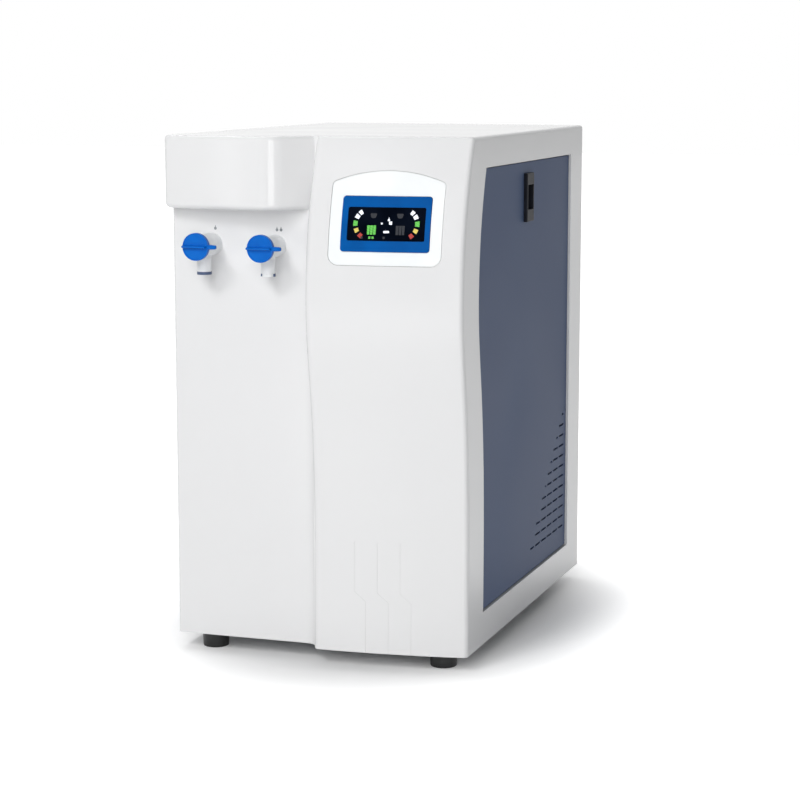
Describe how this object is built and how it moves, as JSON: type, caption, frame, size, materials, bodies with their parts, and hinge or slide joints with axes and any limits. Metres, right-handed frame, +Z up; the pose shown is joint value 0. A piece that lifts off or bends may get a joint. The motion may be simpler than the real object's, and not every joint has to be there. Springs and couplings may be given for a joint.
{
  "type": "ultrapure water system",
  "caption": "Slim bench cabinet with a bellied display column, a hooded recess with two quarter-turn taps, tilt-out side panels and the water treatment parts inside.",
  "frame": {"origin": "middle of the overall box, on the surface that the feet stand on", "axes": "+X to the right seen from the front, +Y to the back, +Z up"},
  "size_m": [0.3236, 0.513, 0.54],
  "materials": {
    "cabinet_white": "moulded, gloss",
    "panel_blue_grey": "satin",
    "pull_black": "fine texture",
    "surround_white": "satin",
    "bezel_blue": "gloss",
    "window_dark": "gloss glass",
    "knob_blue": "gloss",
    "tap_white": "satin",
    "collar_grey": "satin",
    "sheet_grey": "powder coat",
    "foot_rubber": "moulded",
    "screw_steel": "zinc plated",
    "seal_rubber": "moulded",
    "filter_white": "moulded",
    "filter_blue": "moulded",
    "membrane_film": "wound film",
    "reactor_steel": "polished tube",
    "quartz": "clear",
    "pump_black": "satin",
    "pump_head_grey": "moulded",
    "board_green": "solder mask",
    "post_brass": "turned",
    "supply_steel": "pressed",
    "fitting_grey": "moulded",
    "fan_black": "moulded",
    "tube_clear": "smooth",
    "magnet_dark": "sintered",
    "valve_brass": "machined"
  },
  "bodies": {
    "cabinet": {"base_plate": "sheet_grey", "board_posts": "post_brass", "bulkhead_nuts": "fitting_grey", "cabinet_shell": "cabinet_white", "catch_magnets": "magnet_dark", "centre_partition": "sheet_grey", "conductivity_cell": "reactor_steel", "control_board": "board_green", "display_bezel": "bezel_blue", "display_board": "board_green", "display_module": "pump_black", "display_surround": "surround_white", "display_window": "window_dark", "fan_frame": "fan_black", "feed_tube": "tube_clear", "feet": "foot_rubber", "foot_bolts": "screw_steel", "front_cover": "cabinet_white", "inlet_valve": "valve_brass", "lamp_housing": "reactor_steel", "lamp_tube": "quartz", "lamp_tube_line": "tube_clear", "left_tap_tube": "tube_clear", "membrane_element": "membrane_film", "membrane_vessel": "filter_white", "nozzle_collars": "collar_grey", "polisher_head": "filter_blue", "port_bodies": "fitting_grey", "power_inlet": "fan_black", "power_supply": "supply_steel", "prefilter_head": "filter_blue", "pump_cradles": "sheet_grey", "pump_heads": "pump_head_grey", "pump_motors": "pump_black", "rear_panel": "sheet_grey", "rear_screws": "screw_steel", "right_tap_tube": "tube_clear", "switch_body": "fan_black", "tap_body_left": "tap_white", "tap_body_right": "tap_white", "tap_seals": "seal_rubber", "tube_clips": "fitting_grey"},
    "tap_left": {"tap_knob_left": "knob_blue", "tap_stem_left": "filter_white"},
    "tap_right": {"tap_knob_right": "knob_blue", "tap_stem_right": "filter_white"},
    "side_door_right": {"side_panel_right": "panel_blue_grey", "side_pull_right": "pull_black", "strike_plate_right": "screw_steel"},
    "side_door_left": {"side_panel_left": "panel_blue_grey", "side_pull_left": "pull_black", "strike_plate_left": "screw_steel"},
    "prefilter": {"prefilter_cartridge": "filter_white"},
    "polisher": {"polisher_cartridge": "filter_white"},
    "switch": {"switch_rocker": "fan_black"},
    "fan": {"fan_rotor": "fan_black"},
    "fuses": {"fuse_drawer": "fan_black"},
    "collet_1": {"port_collet_1": "filter_blue"},
    "collet_2": {"port_collet_2": "fitting_grey"},
    "collet_3": {"port_collet_3": "cabinet_white"}
  },
  "joints": [
    {"name": "tap_left_turn", "type": "hinge", "parent": "cabinet", "child": "tap_left", "pos_m": [-0.116, -0.24, 0.429], "axis": [0, 1, 0], "range_deg": [0, 90]},
    {"name": "tap_right_turn", "type": "hinge", "parent": "cabinet", "child": "tap_right", "pos_m": [-0.046, -0.24, 0.429], "axis": [0, 1, 0], "range_deg": [0, 90]},
    {"name": "side_door_right_tilt", "type": "hinge", "parent": "cabinet", "child": "side_door_right", "pos_m": [0.156, 0.02, 0.0565], "axis": [0, 1, 0], "range_deg": [0, 35]},
    {"name": "side_door_left_tilt", "type": "hinge", "parent": "cabinet", "child": "side_door_left", "pos_m": [-0.156, 0.02, 0.0565], "axis": [0, -1, 0], "range_deg": [0, 35]},
    {"name": "prefilter_turn", "type": "hinge", "parent": "cabinet", "child": "prefilter", "pos_m": [-0.078, -0.099, 0.41], "axis": [0, 0, 1], "range_deg": [0, 90]},
    {"name": "polisher_turn", "type": "hinge", "parent": "cabinet", "child": "polisher", "pos_m": [0.078, -0.089, 0.41], "axis": [0, 0, 1], "range_deg": [0, 90]},
    {"name": "switch_rock", "type": "hinge", "parent": "cabinet", "child": "switch", "pos_m": [0.127, 0.236, 0.084], "axis": [1, 0, 0], "range_deg": [0, 16]},
    {"name": "fan_spin", "type": "hinge", "parent": "cabinet", "child": "fan", "pos_m": [0.075, 0.222, 0.43], "axis": [0, 1, 0], "continuous": true},
    {"name": "fuse_drawer_slide", "type": "slide", "parent": "cabinet", "child": "fuses", "axis": [0, 1, 0], "range_m": [0, 0.014]},
    {"name": "collet_1_press", "type": "slide", "parent": "cabinet", "child": "collet_1", "axis": [0, -1, 0], "range_m": [0, 0.0015], "stiffness_N_per_m": 400},
    {"name": "collet_2_press", "type": "slide", "parent": "cabinet", "child": "collet_2", "axis": [0, -1, 0], "range_m": [0, 0.0015], "stiffness_N_per_m": 400},
    {"name": "collet_3_press", "type": "slide", "parent": "cabinet", "child": "collet_3", "axis": [0, -1, 0], "range_m": [0, 0.0015], "stiffness_N_per_m": 400}
  ]
}
